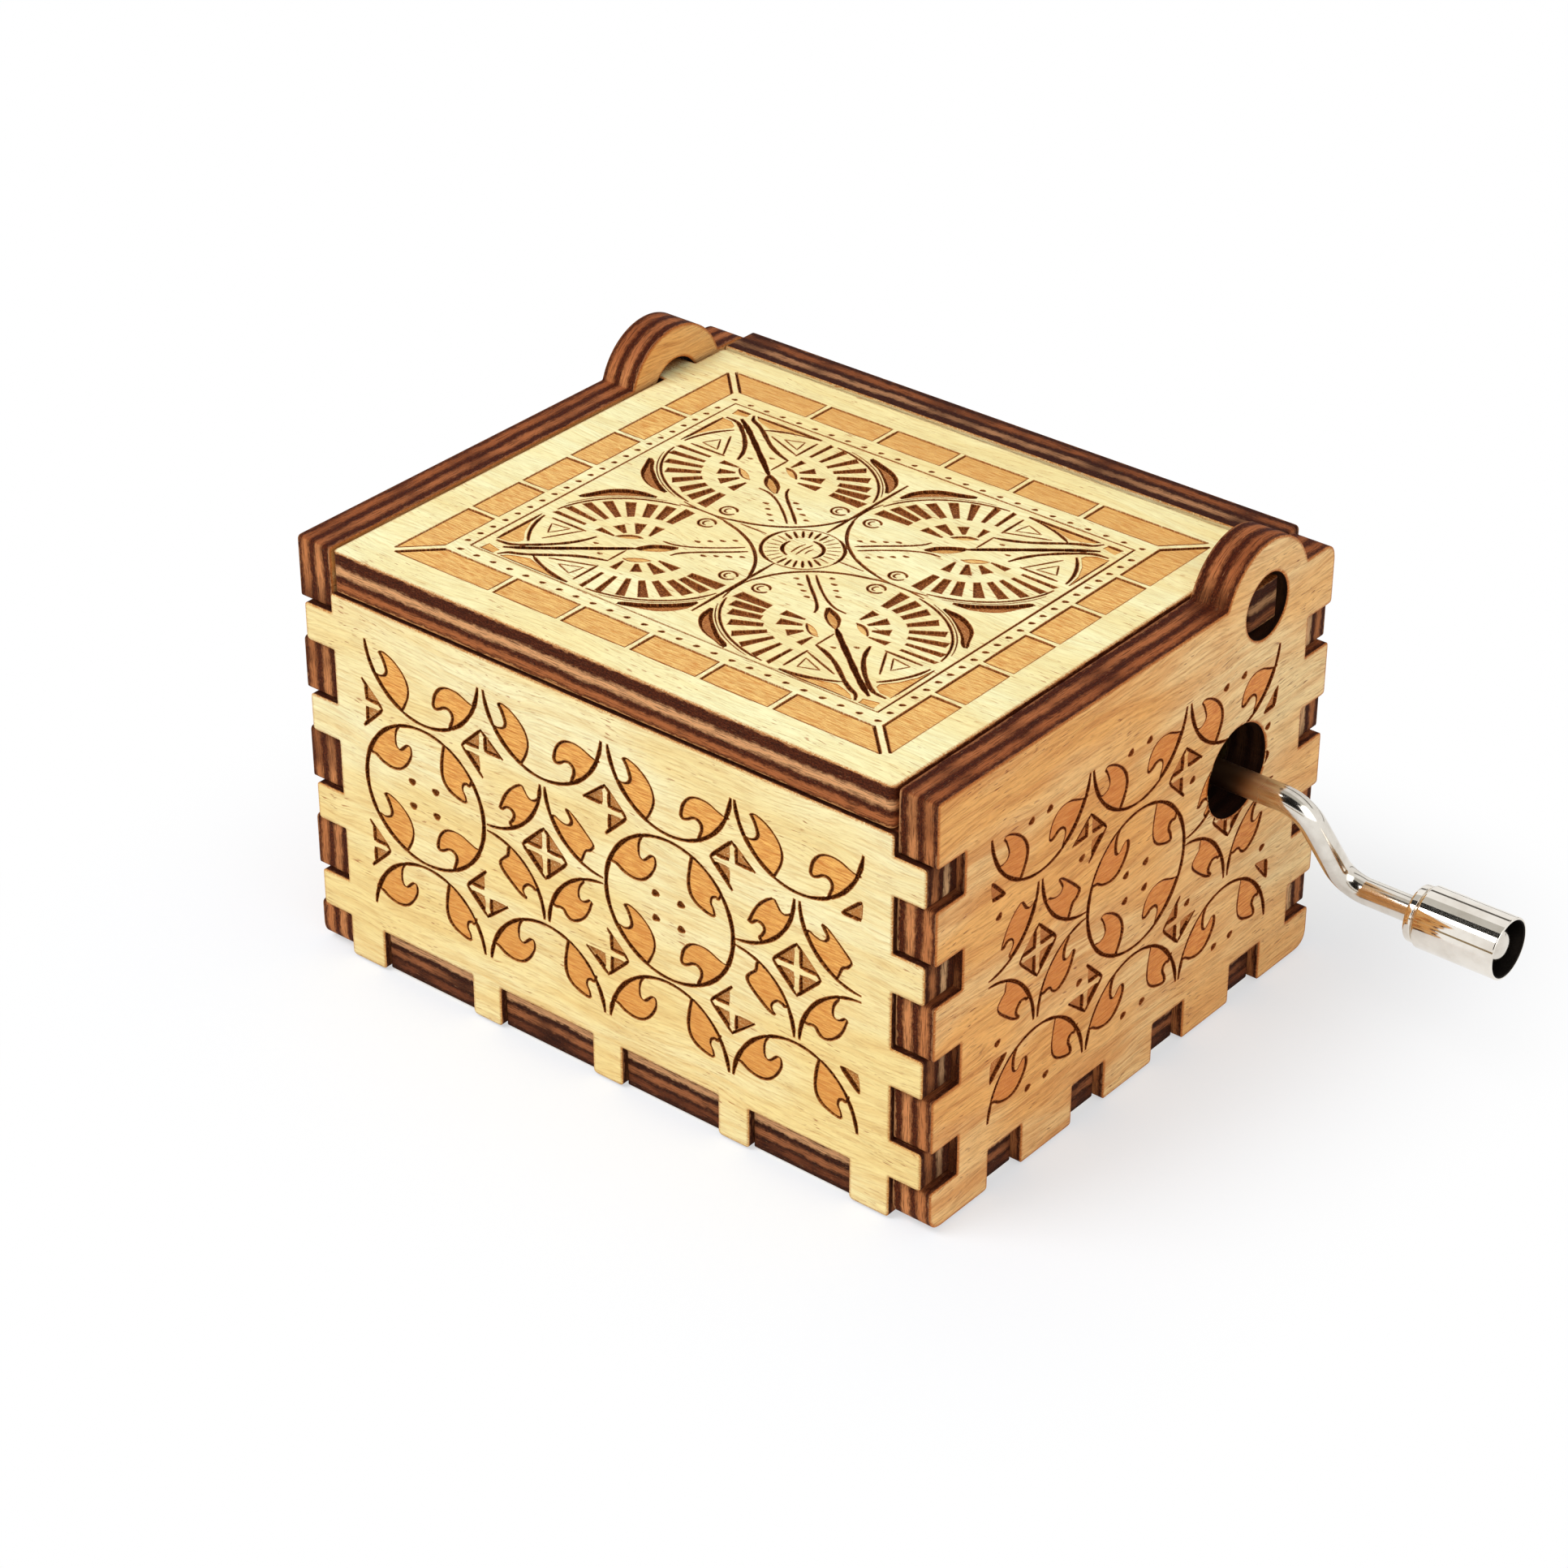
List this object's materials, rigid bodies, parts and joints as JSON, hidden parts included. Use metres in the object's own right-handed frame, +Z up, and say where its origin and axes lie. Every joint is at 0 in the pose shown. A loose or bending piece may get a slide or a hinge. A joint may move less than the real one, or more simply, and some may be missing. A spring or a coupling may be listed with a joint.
{
  "type": "hand crank music box",
  "caption": "Plywood box with finger joints and a hinged lid around a comb movement, whose pinned cylinder is turned through a worm by a bent crank with a spinning knob.",
  "frame": {"origin": "under the middle of the case, on the surface that it stands on", "axes": "+X towards the crank, -Y is the front, +Z up"},
  "size_m": [0.0877, 0.052, 0.042],
  "materials": {
    "plywood": "sanded plywood, laser-cut edges burnt dark",
    "chrome": "bright plated steel",
    "brass": "turned brass",
    "steel": "ground steel",
    "zinc": "die-cast zinc alloy, satin"
  },
  "bodies": {
    "case": {"front_panel": "plywood", "back_panel": "plywood", "left_side_panel": "plywood", "right_side_panel": "plywood", "bottom_plate": "plywood", "movement_base": "zinc", "worm_bracket": "steel", "comb": "steel", "base_screw_1": "steel", "base_screw_2": "steel", "base_screw_3": "steel", "comb_screw_1": "steel", "comb_screw_2": "steel", "bracket_screw_1": "steel", "bracket_screw_2": "steel", "front_arbor_bush": "brass", "rear_arbor_bush": "brass", "outer_crank_bush": "brass", "inner_crank_bush": "brass"},
    "lid": {"lid": "plywood"},
    "cylinder": {"cylinder_sleeve": "brass", "front_cylinder_cap": "brass", "rear_cylinder_cap": "brass", "cylinder_arbor": "steel", "drive_gear": "brass"},
    "crank": {"crank_rod": "chrome", "worm": "brass", "crank_collar": "steel", "crank_clip": "steel", "knob_washer": "steel"},
    "knob": {"crank_knob": "chrome"}
  },
  "joints": [
    {"name": "lid_hinge", "type": "hinge", "parent": "case", "child": "lid", "pos_m": [0, 0.0161, 0.0362], "axis": [-1, 0, 0], "range_deg": [0, 146]},
    {"name": "crank_spin", "type": "hinge", "parent": "case", "child": "crank", "pos_m": [0, 0.0133, 0.0218], "axis": [1, 0, 0], "continuous": true},
    {"name": "knob_spin", "type": "hinge", "parent": "crank", "child": "knob", "pos_m": [0, 0.01637, 0.0142], "axis": [1, 0, 0], "continuous": true},
    {"name": "cylinder_spin", "type": "hinge", "parent": "case", "child": "cylinder", "pos_m": [0.012, 0, 0.0135], "axis": [0, 1, 0], "continuous": true}
  ],
  "couplings": [
    {"joint": "cylinder_spin", "follows": "crank_spin", "ratio": -0.041667}
  ]
}
